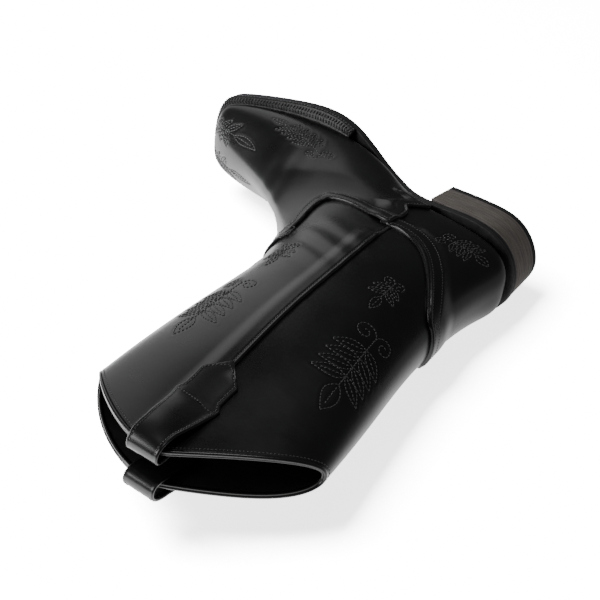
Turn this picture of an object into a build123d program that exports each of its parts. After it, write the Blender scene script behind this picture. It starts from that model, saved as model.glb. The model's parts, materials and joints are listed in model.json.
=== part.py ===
from build123d import *
import os
from functools import lru_cache
import numpy as np

# A right cowboy boot, standing on its heel and forefoot. Places on the boot are given as
# side (towards the outer, lateral side), forward (from the back of the heel towards the
# toe) and up. The row's frame has the toe towards -Y, the lateral side towards -X and the
# origin on the ground at the middle of the boot's bounding box.

# ---- driving dimensions, millimetres ----
CENTRE_FORWARD = 131.3
CENTRE_SIDE = 2.0

HEEL_HEIGHT = 36.0
TOP_LIFT_HEIGHT = 6.0
LIFT_COUNT = 7
BREAST_TOP = 82.0
BREAST_BOTTOM = 84.0
OUTSOLE_THICKNESS = 6.0
WELT_THICKNESS = 4.5
WELT_GAP = 0.6
WELT_START = 172.0
SEAT_GAP = 0.7

LEATHER = 1.8
LINING = 1.0
STIFFENER = 1.0
PLY_GAP = 0.2
LAP_LENGTH = 0.22
LAP_RISE_START = 1.3 * LAP_LENGTH
LAP_RISE_LENGTH = 1.7 * LAP_LENGTH
SEAM_LAP_ANGLE = 7.0
LAP_RISE_ANGLE = 8.0

RIM_SIDE_HEIGHT = 375.0
RIM_FRONT_HEIGHT = 330.0
RIM_BACK_HEIGHT = 304.0
RIM_FRONT_POWER = 2.0
RIM_BACK_POWER = 1.15
SHAFT_END = 5.0
BEADING_HEIGHT = 3.0

SIDE_ANGLE = 88.0
BUTT_GAP_ANGLE = 0.4
SEAM_LAP_END = 5.1
SEAM_LAP_FADE = 0.3
SEAM_LAP_LEAD = 0.1
VAMP_SEAM_SHARE = 0.82
VAMP_SEAM_RISE = 0.09
VAMP_SEAM_FADE = 0.6
COUNTER_SEAM_LAP = 5.0

STRAP_THICKNESS = 1.8
STRAP_ANGLE = 87.0
DEGREES_PER_MM = 0.75
BUMP_LEAD = 2.0
BUMP_FADE = 5.0
BUMP_LAST = 6.0
NAIL_RADIUS = 1.2
NAIL_HEAD_RADIUS = 2.4
NAIL_HEAD_HEIGHT = 1.2
NAIL_CLEARANCE = 0.05
NAIL_HEAD_DEPTH = 0.2
NAIL_TIP_COVER = 2.0
NAIL_COUNT = 7
NAIL_ROW_RADIUS = 22.0
NAIL_ROW_CENTRE = 36.0

INSOLE_THICKNESS = 3.0
SOCK_THICKNESS = 1.3
BEADING_BULGE = 0.3
SHAFT_LINING_FACE = -LEATHER - PLY_GAP
STIFFENER_FACE = SHAFT_LINING_FACE
FOOT_LINING_FACE = STIFFENER_FACE - STIFFENER - PLY_GAP
SOLE_BLANK_HEIGHT = 60.0
BAND_HALF_WIDTH = 60.0
FRONT_BOX = (240.0, 400.0, 240.0)
BASE_ALIGN = (Align.CENTER, Align.CENTER, Align.MIN)

# Tread line of the outsole, forward and up: level over the heel, then down to the ball
# and up again to the toe.
TREAD = [
    (-4, 36), (28, 36), (58, 36), (78, 35.2), (91, 31), (104, 24), (117, 16.3), (132, 9.6),
    (150, 4), (170, 1), (190, 0), (215, 1), (240, 4.5), (265, 9.5), (296, 17),
]

# Outline of the outsole, forward and side, from the back of the heel along the lateral
# side to the toe and back along the medial side.
SOLE_OUTLINE = [
    (0, 0), (4.5, 17), (16, 29), (36, 35.6), (60, 35.4), (84, 32), (105, 27), (125, 26.5),
    (145, 31.5), (163, 39.5), (180, 45.5), (200, 47.5), (225, 44.7), (250, 40), (271, 35.3),
    (284, 29.5), (290.5, 17), (292, 0), (290.5, -17.5), (284, -29.5), (271, -34.5),
    (248, -38.7), (222, -41.6), (200, -41.6), (182, -39.5), (163, -35), (145, -30.3),
    (125, -27), (105, -27), (84, -30.5), (60, -34), (36, -34.8), (16, -28.5), (4.5, -16.5),
]

# Outlines of the heel at the top of the stack and on the ground.
HEEL_TOP = [
    (BREAST_TOP, 34.0), (45, 35.5), (16, 29), (0.5, 0), (16, -28.5), (45, -34.5), (BREAST_TOP, -32.5),
]
HEEL_BOTTOM = [
    (BREAST_BOTTOM, 30.5), (47, 32.5), (19, 26), (4.5, 0), (19, -25.5), (47, -31.5), (BREAST_BOTTOM, -29),
]

# Sections through the upper, from the top of the shaft to the toe. Each runs from a
# point on the front line to a point on the back line, or on the bottom line under the
# foot. Angle 0 is the front line, 90 the lateral side, 180 the back or the bottom.
FRONT_FORWARD = [122, 130, 135, 136, 137, 147, 163, 179, 196, 217, 241, 264, 279, 286, 288, 288.5]
FRONT_UP = [385, 330, 275, 222, 174, 134, 108, 92, 79.5, 67.5, 56.5, 47.5, 39.5, 33, 27, 22.2]
BACK_FORWARD = [-32, -32, -24, -12, -2, 3, 1.5, 5.5, 45, 105, 168, 224, 259, 275, 283, 286.5]
BACK_UP = [385, 330, 275, 218, 160, 108, 70, 46.5]
HALF_WIDTH = [11.5, 20, 30, 36, 38, 38, 36, 34.5, 34, 34, 38.2, 36.9, 32.8, 28.2, 23.2, 19.5]
SIDE_SHIFT = [-5.5, -7, -7, -5.5, -2.5, -1, 0, 1, 1.2, 1.8, 0.9, -0.8, -1.9, -2, -1.6, -1.2]
WIDEST = [0.49, 0.49, 0.5, 0.5, 0.51, 0.53, 0.56, 0.6, 0.65, 0.69, 0.72, 0.73, 0.72, 0.68, 0.6, 0.5]
FRONT_FULLNESS = [2.3, 2.3, 2.2, 2.1, 2.0, 2.0, 1.95, 1.9, 1.9, 1.85, 1.85, 2.0, 2.2, 2.4, 2.4, 2.4]
BACK_FULLNESS = [2.2, 2.2, 2.1, 2.1, 2.1, 2.3, 2.6, 3.0, 3.3, 3.3, 3.3, 3.2, 3.0, 2.7, 2.4, 2.4]

# Section numbers at which pieces of the upper start and end.
TOE_END = 14.8
TOE_FOOT_ANGLE = 95.0
LINING_TOE_END = 13.4
PUFF_START = 11.2
SEAM_START = 7.2
SEAM_END = 8.55
SEAM_FOOT_ANGLE = 124.0
LASTING_ANGLE = 150.0
LASTING_SECTION = 9.3
TOE_TURN = 12.8
HEEL_SEAT_SECTION = 7.35
INNER_SEAT_SECTION = 6.9
INNER_SEAM_END = 8.3
SEAT_EDGE_POWER = 1.5
SOLE_START = 7.0

# Margins of the inner layers: gaps in section numbers at the top, in degrees at the sides.
LINING_TOP_GAP = 0.05
LINING_SIDE_GAP = 0.5
PUFF_MARGIN = 12.0
COUNTER_TOP_MARGIN = 0.6
COUNTER_SIDE_MARGIN = 6.0

# Pieces under the foot: first and last section number, half width in degrees.
INSOLE_SPAN = (7.6, 13.0, 42)
SOCK_SPAN = (7.65, 12.9, 40)
SHANK_SPAN = (8.25, 9.85, 9)
FILLER_SPAN = (10.0, 12.7, 22)
SHANK_FACES = (-2.4, -0.9)
FILLER_DEPTH = 3.8
WELT_SECTIONS = [9.0, 9.5, 10.0, 10.5, 11.0, 11.5, 12.0, 12.4, 12.8, 13.1, 13.4, 13.65, 13.9, 14.1]
WELT_TOE_GAP = 0.5

# Top edges of the vamp and the counter cover: angle and section number.
VAMP_TOP = [(0, 4.62), (30, 4.85), (50, 6.62), (86, 5.74)]
COUNTER_TOP = [(86, 5.74), (160, 4.2), (180, 4.17)]

# Pull strap: its path over the rim as distance outside the shaft and height over the
# rim's peak, from the outer tip to the inner end. Half its width at places along the path.
STRAP_PATH = [
    (1.05, -86), (1.05, -78), (1.05, -70), (1.05, -58), (1.1, -49), (1.4, -42), (4.0, -28), (6.9, -13),
    (7.0, -2), (3.0, 3.8), (-2.8, 3.6), (-5.6, -3), (-5.2, -14), (-4.4, -26), (-4.2, -40),
]
STRAP_HALF_WIDTH = [
    (0, 0.6), (1.9, 14), (2.6, 13.6), (3.4, 13.8), (3.9, 16.2), (4.6, 15.8), (6, 13.8), (7, 12), (14, 11.5),
]

# ---- curves and the surface of the upper ----
def natural_spline(values, position):
    """Values at whole positions 0, 1, 2 ... joined by one smooth curve."""
    values = np.asarray(values, float)
    count = len(values)
    matrix = np.eye(count)
    bends = np.zeros_like(values)
    for i in range(1, count - 1):
        matrix[i, i - 1 : i + 2] = (1, 4, 1)
        bends[i] = 6 * (values[i - 1] - 2 * values[i] + values[i + 1])
    bends = np.linalg.solve(matrix, bends)
    position = min(max(position, 0.0), count - 1.0)
    i = min(int(position), count - 2)
    s = position - i
    straight = values[i] * (1 - s) + values[i + 1] * s
    return straight + ((1 - s) ** 3 - (1 - s)) * bends[i] / 6 + (s**3 - s) * bends[i + 1] / 6


def ease(x):
    """Smooth step from 0 to 1."""
    x = min(max(x, 0.0), 1.0)
    return x * x * (3 - 2 * x)


def eased(points, x):
    """Value at x on a run of points joined by smooth steps."""
    for (x0, y0), (x1, y1) in zip(points, points[1:]):
        if x <= x1:
            return y0 + (y1 - y0) * ease((x - x0) / (x1 - x0))
    return points[-1][1]


TREAD_LINE = np.array([natural_spline(TREAD, i / 5) for i in range(5 * len(TREAD) - 4)])


def seat_height(forward):
    """Height of the upper's bottom line, just above the outsole."""
    return float(np.interp(forward, *TREAD_LINE.T)) + OUTSOLE_THICKNESS + SEAT_GAP


BOTTOM_UP = [seat_height(f) for f in BACK_FORWARD[len(BACK_UP) :]]
SECTION_COLUMNS = np.array(
    [
        FRONT_FORWARD, FRONT_UP, BACK_FORWARD, BACK_UP + BOTTOM_UP, HALF_WIDTH,
        SIDE_SHIFT, WIDEST, FRONT_FULLNESS, BACK_FULLNESS,
    ]
).T
SAMPLES = 40
SECTION_TABLE = np.array(
    [natural_spline(SECTION_COLUMNS, i / SAMPLES) for i in range((len(FRONT_UP) - 1) * SAMPLES + 1)]
)


def section(number):
    """Shape of one section, from the finely sampled table."""
    place = min(max(number, 0.0), len(FRONT_UP) - 1.0) * SAMPLES
    i = min(int(place), len(SECTION_TABLE) - 2)
    s = place - i
    values = SECTION_TABLE[i] * (1 - s) + SECTION_TABLE[i + 1] * s
    on_sole = ease(number - SOLE_START)
    values[3] += (seat_height(values[2]) - values[3]) * on_sole
    return values


def upper_point(number, angle):
    """Point on the outer face of the shaft and foot: side, forward, up."""
    f0, u0, f1, u1, half, shift, widest, front_n, back_n = section(number)
    c = np.cos(np.radians(angle))
    s = np.sin(np.radians(angle))
    power = back_n + (front_n - back_n) * (1 + c) / 2
    scale = (abs(c) ** power + abs(s) ** power) ** (-1 / power)
    along = widest - scale * c * (0.5 + (widest - 0.5) * scale * c)
    return np.array([half * scale * s + shift, f0 + (f1 - f0) * along, u0 + (u1 - u0) * along])


def upper_normal(number, angle):
    """Outward direction of the upper at a place."""
    d_number = upper_point(number + 0.02, angle) - upper_point(number - 0.02, angle)
    d_angle = upper_point(number, angle + 0.5) - upper_point(number, angle - 0.5)
    normal = np.cross(d_number, d_angle)
    return -normal / np.linalg.norm(normal)


def row_frame(point):
    side, forward, up = point
    return Vector(CENTRE_SIDE - side, CENTRE_FORWARD - forward, up)


def layer_point(number, angle, offset):
    """Point at a distance outside the upper's surface, in the row's frame."""
    return row_frame(upper_point(number, angle) + offset * upper_normal(number, angle))


def rim_height(angle):
    c = np.cos(np.radians(angle))
    if c >= 0:
        return RIM_SIDE_HEIGHT - (RIM_SIDE_HEIGHT - RIM_FRONT_HEIGHT) * c**RIM_FRONT_POWER
    return RIM_SIDE_HEIGHT - (RIM_SIDE_HEIGHT - RIM_BACK_HEIGHT) * (-c) ** RIM_BACK_POWER


def section_at_height(height, angle):
    """Section number whose point at this angle is at this height on the shaft."""
    low, high = 0.0, SHAFT_END
    for _ in range(40):
        middle = (low + high) / 2
        if upper_point(middle, angle)[2] > height:
            low = middle
        else:
            high = middle
    return (low + high) / 2


@lru_cache(maxsize=None)
def rim_section(angle, below=0.0):
    return section_at_height(rim_height(angle) - below, angle)


def half_turn(angle):
    """The same angle on the lateral side, 0 to 180."""
    angle = angle % 360
    return min(angle, 360 - angle)


def vamp_top(angle):
    return eased(VAMP_TOP, half_turn(angle))


def counter_top(angle):
    return eased(COUNTER_TOP, half_turn(angle))


def foot_angle(number):
    """Angle of the vamp's edge: the side seam, then the lasting margin under the foot."""
    if number < SEAM_START:
        return VAMP_TOP[-1][0]
    points = [
        (SEAM_START, VAMP_TOP[-1][0]), (SEAM_END, SEAM_FOOT_ANGLE), (LASTING_SECTION, LASTING_ANGLE),
        (TOE_TURN, LASTING_ANGLE), (TOE_END, TOE_FOOT_ANGLE),
    ]
    return eased(points, number)


# ---- layers of the upper as solids ----
def sheet(inner_point, outer_point, columns, rows):
    """Solid between two smooth faces; each is given as a point at u across and v down."""
    across = [j / columns for j in range(columns + 1)]
    faces = []
    for point in (outer_point, inner_point):
        rows_of_points = [[point(u, i / rows) for u in across] for i in range(rows + 1)]
        curves = [Wire([Edge.make_spline(row, parameters=across)]) for row in rows_of_points]
        faces.append(Shell.make_loft(curves).face())
    walls = [Face.make_surface_from_curves(a, b) for a, b in zip(faces[0].edges(), faces[1].edges())]
    solid = Solid(Shell([*faces, *walls]))
    if solid.volume < 0:
        solid = Solid(Shell([-face for face in (*faces, *walls)]))
    return solid


def ply(place, inner, outer, columns=24, rows=24):
    """Layer of the upper. place(u, v) gives section number and angle, and inner and
    outer give the layer's distances outside the upper's surface there."""

    def point_at(offset):
        def point(u, v):
            number, angle = place(u, v)
            distance = offset(number, angle, 2 * u - 1)
            return layer_point(number, angle, distance)

        return point

    return sheet(point_at(inner), point_at(outer), columns, rows)


def layer(place, inner, outer, **grid):
    """Layer of constant thickness at a constant depth."""
    return ply(place, lambda *_: inner, lambda *_: outer, **grid)


def leather(place, rise, **grid):
    """Outer leather that climbs by rise times one thickness over what lies below it."""
    step = LEATHER + PLY_GAP
    return ply(place, lambda *at: rise(*at) * step - LEATHER, lambda *at: rise(*at) * step, **grid)


def lap(number, top):
    """1 where a piece lies on the shaft at its top edge, 0 below the shaft's end."""
    return 1 - ease((number - top - LAP_RISE_START) / LAP_RISE_LENGTH)


def panel_place(centre, half_angle, top, bottom):
    """Places on a shaft panel, from its top edge to its bottom edge."""

    def place(u, v):
        share = 2 * u - 1
        start = top(centre + share * half_angle(0))
        end = bottom(centre + share * half_angle(SEAM_LAP_END + 1))
        number = start + (end - start) * v
        return number, centre + share * half_angle(number)

    return place


def shaft_front():
    """Front panel. Its side edges climb over the back panel's."""

    def rise(number, angle, share):
        start = SIDE_ANGLE - SEAM_LAP_ANGLE - LAP_RISE_ANGLE
        fade = 1 - ease((number - SEAM_LAP_END) / SEAM_LAP_FADE)
        return ease((abs(angle) - start) / LAP_RISE_ANGLE) * fade

    place = panel_place(
        0, lambda n: SIDE_ANGLE, lambda a: rim_section(a, BEADING_HEIGHT), lambda a: vamp_top(a) + LAP_LENGTH
    )
    return leather(place, rise, columns=88, rows=60)


def back_panel_edge(number):
    """Half angle of the back panel: under the front panel, and butted at the foot."""
    butted = 180 - SIDE_ANGLE - BUTT_GAP_ANGLE
    fade = 1 - ease((number - SEAM_LAP_END + SEAM_LAP_LEAD) / SEAM_LAP_FADE)
    return butted + (SEAM_LAP_ANGLE + BUTT_GAP_ANGLE) * fade


def shaft_back():
    """Back panel. Its side edges pass under the front panel's."""

    def bottom(angle):
        top = vamp_top(angle) if half_turn(angle) < COUNTER_TOP[0][0] else counter_top(angle)
        return top + LAP_LENGTH

    place = panel_place(180, back_panel_edge, lambda a: rim_section(a, BEADING_HEIGHT), bottom)
    return leather(place, lambda *_: 0.0, columns=88, rows=60)


def foot_place(top, high, margin=0.0):
    """Places over the vamp's area, from a top edge towards the toe."""

    def place(u, v):
        share = 2 * u - 1
        start = top(share * VAMP_TOP[-1][0])
        number = start + (high - start) * v
        return number, share * (foot_angle(number) - margin)

    return place


def heel_place(top, bottom, margin=0.0):
    """Places over the counter's area, from a top edge down to the heel seat."""

    def place(u, v):
        share = 2 * u - 1
        start = top(180 + share * (180 - VAMP_TOP[-1][0]))
        number = start + (bottom(abs(share)) - start) * v
        return number, 180 + share * (180 - foot_angle(number) - margin)

    return place


def heel_seat_edge(share):
    """Section number of the lasting margin under the heel."""
    return HEEL_SEAT_SECTION + (SEAM_END - HEEL_SEAT_SECTION) * share**SEAT_EDGE_POWER


def inner_seat_edge(share):
    """Section number at which the inner layers end, above the insole."""
    return INNER_SEAT_SECTION + (INNER_SEAM_END - INNER_SEAT_SECTION) * share**SEAT_EDGE_POWER


def vamp():
    """Climbs over the shaft at the top and over the counter cover at the side seams."""

    def rise(number, angle, share):
        seam = ease((abs(share) - VAMP_SEAM_SHARE) / VAMP_SEAM_RISE)
        seam *= ease((SEAM_END + VAMP_SEAM_FADE - number) / VAMP_SEAM_FADE)
        return lap(number, vamp_top(share * VAMP_TOP[-1][0])) + seam

    return leather(foot_place(vamp_top, TOE_END), rise, columns=80, rows=100)


def counter_cover():
    """Climbs over the shaft at the top. Its side edges pass under the vamp's."""

    def rise(number, angle, share):
        return lap(number, counter_top(180 + share * (180 - VAMP_TOP[-1][0])))

    return leather(heel_place(counter_top, heel_seat_edge, -COUNTER_SEAM_LAP), rise, columns=60, rows=50)


def shaft_lining_front():
    half_angle = SIDE_ANGLE - BUTT_GAP_ANGLE
    place = panel_place(0, lambda n: half_angle, lambda a: rim_section(a, BEADING_HEIGHT), vamp_top)
    return layer(place, SHAFT_LINING_FACE - LINING, SHAFT_LINING_FACE, columns=60, rows=40)


def shaft_lining_back():
    def bottom(angle):
        return vamp_top(angle) if half_turn(angle) < COUNTER_TOP[0][0] else counter_top(angle)

    place = panel_place(180, lambda n: 180 - SIDE_ANGLE, lambda a: rim_section(a, BEADING_HEIGHT), bottom)
    return layer(place, SHAFT_LINING_FACE - LINING, SHAFT_LINING_FACE, columns=60, rows=40)


def vamp_lining():
    place = foot_place(lambda a: vamp_top(a) + LINING_TOP_GAP, LINING_TOE_END, margin=LINING_SIDE_GAP)
    return layer(place, FOOT_LINING_FACE - LINING, FOOT_LINING_FACE, columns=44, rows=34)


def heel_lining():
    place = heel_place(lambda a: counter_top(a) + LINING_TOP_GAP, inner_seat_edge, margin=LINING_SIDE_GAP)
    return layer(place, FOOT_LINING_FACE - LINING, FOOT_LINING_FACE, columns=36, rows=26)


def toe_puff():
    place = foot_place(lambda a: PUFF_START, LINING_TOE_END, margin=PUFF_MARGIN)
    return layer(place, STIFFENER_FACE - STIFFENER, STIFFENER_FACE, columns=30, rows=16)


def heel_counter():
    place = heel_place(
        lambda a: counter_top(a) + COUNTER_TOP_MARGIN, inner_seat_edge, margin=COUNTER_SIDE_MARGIN
    )
    return layer(place, STIFFENER_FACE - STIFFENER, STIFFENER_FACE, columns=30, rows=20)


def top_beading(centre, half_angle):
    """Strip that closes the rim over the panel's and the lining's edges."""

    def place(u, v):
        angle = centre + (2 * u - 1) * half_angle
        return rim_section(angle, (BEADING_HEIGHT - 3 * PLY_GAP) * v), angle

    inner = SHAFT_LINING_FACE - LINING - BEADING_BULGE
    return layer(place, inner, BEADING_BULGE, columns=60, rows=4)


# ---- pieces under the foot ----
def bottom_place(start, end, half_angle):
    """Places on the bottom of the foot, from the heel towards the toe."""
    return lambda u, v: (start + (end - start) * v, 180 + (2 * u - 1) * half_angle)


def insole():
    face = FOOT_LINING_FACE - LINING - PLY_GAP
    return layer(bottom_place(*INSOLE_SPAN), face - INSOLE_THICKNESS, face, columns=20, rows=40)


def sock_liner():
    face = FOOT_LINING_FACE - LINING - 2 * PLY_GAP - INSOLE_THICKNESS
    return layer(bottom_place(*SOCK_SPAN), face - SOCK_THICKNESS, face, columns=20, rows=40)


def shank():
    return layer(bottom_place(*SHANK_SPAN), *SHANK_FACES, columns=8, rows=20)


def bottom_filler():
    return layer(bottom_place(*FILLER_SPAN), -FILLER_DEPTH, -PLY_GAP, columns=12, rows=20)


# ---- the pull straps ----
def seam_bump(angle):
    """Extra distance with which the strap clears the raised edge of the front panel."""
    from_edge = half_turn(angle) - SIDE_ANGLE
    from_step = from_edge + SEAM_LAP_ANGLE + LAP_RISE_ANGLE + BUMP_LEAD
    return (LEATHER + PLY_GAP) * ease(from_step / LAP_RISE_ANGLE) * (1 - ease((from_edge - 1) / BUMP_FADE))


def pull_strap(centre):
    """Strap folded over the rim, with a finger gap between it and the shaft."""
    path = np.array(STRAP_PATH, float)
    last = len(path) - 1

    def path_point(position, thickness_share):
        before = natural_spline(path, max(position - 0.01, 0))
        after = natural_spline(path, min(position + 0.01, last))
        across = np.array([after[1] - before[1], before[0] - after[0]])
        across *= thickness_share * STRAP_THICKNESS / np.linalg.norm(across)
        return natural_spline(path, position) + across

    def point_at(thickness_share):
        def point(u, v):
            position = v * last
            outside, height = path_point(position, thickness_share)
            half = np.interp(position, *zip(*STRAP_HALF_WIDTH))
            angle = centre + (2 * u - 1) * half * DEGREES_PER_MM
            number = section_at_height(RIM_SIDE_HEIGHT + height, angle)
            bump = seam_bump(angle) * (1 - ease((position - BUMP_LAST) / 3))
            return layer_point(number, angle, outside + bump)

        return point

    return sheet(point_at(-0.5), point_at(0.5), columns=12, rows=70)


# ---- the sole and the heel ----
def plan_face(points):
    """Closed smooth outline on the ground, from forward and side coordinates."""
    outline = Spline(*[(CENTRE_SIDE - s, CENTRE_FORWARD - f) for f, s in points], periodic=True)
    return make_face(outline)


def tread_band(bottom, top):
    """Solid between two heights over the tread line, wider than the boot."""
    low = [(CENTRE_FORWARD - f, z + bottom) for f, z in TREAD_LINE]
    high = [(CENTRE_FORWARD - f, z + top) for f, z in TREAD_LINE]
    outline = [Spline(*low), Line(low[-1], high[-1]), Spline(*high), Line(high[0], low[0])]
    band = extrude(Plane.YZ * make_face(outline), 2 * BAND_HALF_WIDTH)
    return band.moved(Location((-BAND_HALF_WIDTH, 0, 0)))


def nail_places():
    """Places of the heel nails, side and forward, in a horseshoe inside the outline."""
    around = [-90 + 180 * i / (NAIL_COUNT - 1) for i in range(NAIL_COUNT)]
    return [
        (NAIL_ROW_RADIUS * np.sin(np.radians(a)), NAIL_ROW_CENTRE - NAIL_ROW_RADIUS * np.cos(np.radians(a)))
        for a in around
    ]


def nail_set(clearance):
    """Nails through the stack, with countersunk heads at the top of the outsole."""
    top = HEEL_HEIGHT + OUTSOLE_THICKNESS - NAIL_HEAD_DEPTH
    bottom = TOP_LIFT_HEIGHT + NAIL_TIP_COVER
    nails = []
    for side, forward in nail_places():
        x, y, _ = row_frame((side, forward, 0))
        shank_height = top - bottom
        body = Cylinder(NAIL_RADIUS + clearance, shank_height, align=BASE_ALIGN)
        head = Cylinder(NAIL_HEAD_RADIUS + clearance, NAIL_HEAD_HEIGHT + clearance, align=BASE_ALIGN)
        head = head.moved(Location((0, 0, shank_height - NAIL_HEAD_HEIGHT - clearance)))
        nails.append((body + head).moved(Location((x, y, bottom))))
    return nails


def outsole():
    blank = extrude(plan_face(SOLE_OUTLINE), SOLE_BLANK_HEIGHT)
    sole = blank & tread_band(0, OUTSOLE_THICKNESS)
    for nail in nail_set(NAIL_CLEARANCE):
        sole -= nail
    return sole


def feather_point(number, side):
    """Place on the upper at the height of the welt's top: forward and side."""
    low, high = 0.0, 180.0
    for _ in range(30):
        angle = (low + high) / 2
        w, f, up = upper_point(number, side * angle)
        if up > seat_height(f) + WELT_THICKNESS:
            low = angle
        else:
            high = angle
    w, f, up = upper_point(number, side * low) + WELT_GAP * upper_normal(number, side * low)
    return f, w


def welt():
    """Storm welt around the forefoot, from the ball on one side to the ball on the other."""
    lateral = [feather_point(n, 1) for n in WELT_SECTIONS]
    medial = [feather_point(n, -1) for n in reversed(WELT_SECTIONS)]
    toe = (max(f for f, _ in lateral) + WELT_TOE_GAP, lateral[-1][1] / 2 + medial[0][1] / 2)
    inner = extrude(plan_face([*lateral, toe, *medial]), SOLE_BLANK_HEIGHT)
    ring = extrude(plan_face(SOLE_OUTLINE), SOLE_BLANK_HEIGHT) - inner
    band = tread_band(OUTSOLE_THICKNESS, OUTSOLE_THICKNESS + WELT_THICKNESS)
    front = Box(*FRONT_BOX, align=(Align.CENTER, Align.MAX, Align.CENTER))
    front = front.moved(Location((0, CENTRE_FORWARD - WELT_START, 0)))
    return (ring & band & front).solids().sort_by(SortBy.VOLUME)[-1]


def heel_outline(height):
    """D-shaped outline of the heel at a height."""
    share = height / HEEL_HEIGHT
    points = []
    for (f0, s0), (f1, s1) in zip(HEEL_BOTTOM, HEEL_TOP):
        points.append((CENTRE_SIDE - s0 - (s1 - s0) * share, CENTRE_FORWARD - f0 - (f1 - f0) * share))
    edges = [Spline(*points), Line(points[-1], points[0])]
    return Location((0, 0, height)) * make_face(edges)


def heel_slab(bottom, top):
    return loft([heel_outline(bottom), heel_outline(top)], ruled=True)


def heel_lift(number):
    """One leather lift of the stack, counted from the ground upwards."""
    thickness = (HEEL_HEIGHT - TOP_LIFT_HEIGHT) / LIFT_COUNT
    bottom = TOP_LIFT_HEIGHT + (number - 1) * thickness
    lift = heel_slab(bottom, bottom + thickness) - tread_band(0, OUTSOLE_THICKNESS)
    for nail in nail_set(NAIL_CLEARANCE):
        lift -= nail
    return lift


def build():
    """All nodes by name."""
    parts = {
        "shaft_front": shaft_front(),
        "shaft_back": shaft_back(),
        "vamp": vamp(),
        "counter_cover": counter_cover(),
        "shaft_lining_front": shaft_lining_front(),
        "shaft_lining_back": shaft_lining_back(),
        "vamp_lining": vamp_lining(),
        "heel_lining": heel_lining(),
        "toe_puff": toe_puff(),
        "heel_counter": heel_counter(),
        "top_beading_front": top_beading(0, SIDE_ANGLE - BUTT_GAP_ANGLE),
        "top_beading_back": top_beading(180, 180 - SIDE_ANGLE),
        "pull_strap_lateral": pull_strap(STRAP_ANGLE),
        "pull_strap_medial": pull_strap(-STRAP_ANGLE),
        "insole": insole(),
        "sock_liner": sock_liner(),
        "shank": shank(),
        "bottom_filler": bottom_filler(),
        "welt": welt(),
        "outsole": outsole(),
        "heel_nails": Compound(nail_set(0.0)),
        "heel_top_lift": heel_slab(0, TOP_LIFT_HEIGHT),
    }
    for number in range(1, LIFT_COUNT + 1):
        parts[f"heel_lift_{number}"] = heel_lift(number)
    return parts


os.makedirs("parts", exist_ok=True)
for node, shape in build().items():
    export_step(shape, f"parts/{node}.step")
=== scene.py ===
import json
import bpy
import numpy as np
from mathutils import Matrix, Vector
from mathutils.kdtree import KDTree

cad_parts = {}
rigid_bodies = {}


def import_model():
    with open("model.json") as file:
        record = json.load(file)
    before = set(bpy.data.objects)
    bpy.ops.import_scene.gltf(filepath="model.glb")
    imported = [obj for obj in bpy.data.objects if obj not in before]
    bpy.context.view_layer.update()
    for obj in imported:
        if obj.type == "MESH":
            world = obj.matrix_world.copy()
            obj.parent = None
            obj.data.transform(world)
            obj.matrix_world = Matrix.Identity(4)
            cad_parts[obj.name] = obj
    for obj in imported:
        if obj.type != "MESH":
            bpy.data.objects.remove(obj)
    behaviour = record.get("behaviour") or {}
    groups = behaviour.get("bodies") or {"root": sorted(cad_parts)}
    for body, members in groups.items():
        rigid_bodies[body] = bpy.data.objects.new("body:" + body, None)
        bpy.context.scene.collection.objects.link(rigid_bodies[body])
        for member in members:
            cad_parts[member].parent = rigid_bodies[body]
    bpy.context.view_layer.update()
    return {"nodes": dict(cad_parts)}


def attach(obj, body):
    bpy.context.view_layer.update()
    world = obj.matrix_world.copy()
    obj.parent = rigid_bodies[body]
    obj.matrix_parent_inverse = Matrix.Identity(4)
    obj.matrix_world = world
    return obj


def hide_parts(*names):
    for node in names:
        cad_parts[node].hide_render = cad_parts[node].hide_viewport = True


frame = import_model()

# The boot lies on its inner side, seen from its outer side and above the mouth of the shaft.
# Lengths below are millimetres in the boot's own terms, side (outwards), forward and up,
# until to_row() turns them into the frame's metres.

# ---- camera ----
CAMERA_PLACE = Vector((-0.5921, 0.5315, 0.9462))
CAMERA_TARGET = Vector((0.0439, 0.0041, 0.1178))
CAMERA_UP = Vector((-0.8285, -0.4232, -0.3667))
CAMERA_LENS = 95.92
SENSOR = 36.0
LYING_DIRECTION = Vector((-0.992, -0.087, 0.091))


def camera_turn():
    """Rotation of a camera at CAMERA_PLACE that looks at the target, upright to CAMERA_UP."""
    back = (CAMERA_PLACE - CAMERA_TARGET).normalized()
    right = CAMERA_UP.cross(back).normalized()
    return Matrix((right, back.cross(right), back)).transposed()


def add_camera():
    data = bpy.data.cameras.new("camera")
    data.lens = CAMERA_LENS
    data.sensor_width = SENSOR
    data.clip_start = 0.01
    camera = bpy.data.objects.new("camera", data)
    bpy.context.collection.objects.link(camera)
    camera.matrix_world = Matrix.Translation(CAMERA_PLACE) @ camera_turn().to_4x4()
    bpy.context.scene.camera = camera


add_camera()

# ---- the boot's dimensions ----
CENTRE_FORWARD = 131.3
CENTRE_SIDE = 2.0

HEEL_HEIGHT = 36.0
TOP_LIFT_HEIGHT = 6.0
LIFT_COUNT = 7
BREAST_TOP = 82.0
BREAST_BOTTOM = 84.0
OUTSOLE_THICKNESS = 6.0
WELT_LIP = 7.0
WELT_START = 172.0
SEAT_GAP = 0.7

LEATHER = 1.8
STEP = 2.0
LAP_LENGTH = 0.22
SEAM_LAP_ANGLE = 7.0
LAP_RISE_ANGLE = 8.0
SEAM_LAP_END = 5.1
SIDE_ANGLE = 88.0
BUTT_GAP_ANGLE = 0.4
LINING_DEPTH = 2.0
LINING = 1.0

RIM_SIDE_HEIGHT = 375.0
RIM_FRONT_HEIGHT = 330.0
RIM_BACK_HEIGHT = 304.0
RIM_FRONT_POWER = 2.0
RIM_BACK_POWER = 1.15
BEADING_HEIGHT = 3.0

STRAP_ANGLE = 87.0
STRAP_THICKNESS = 1.8
DEGREES_PER_MM = 0.75

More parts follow.
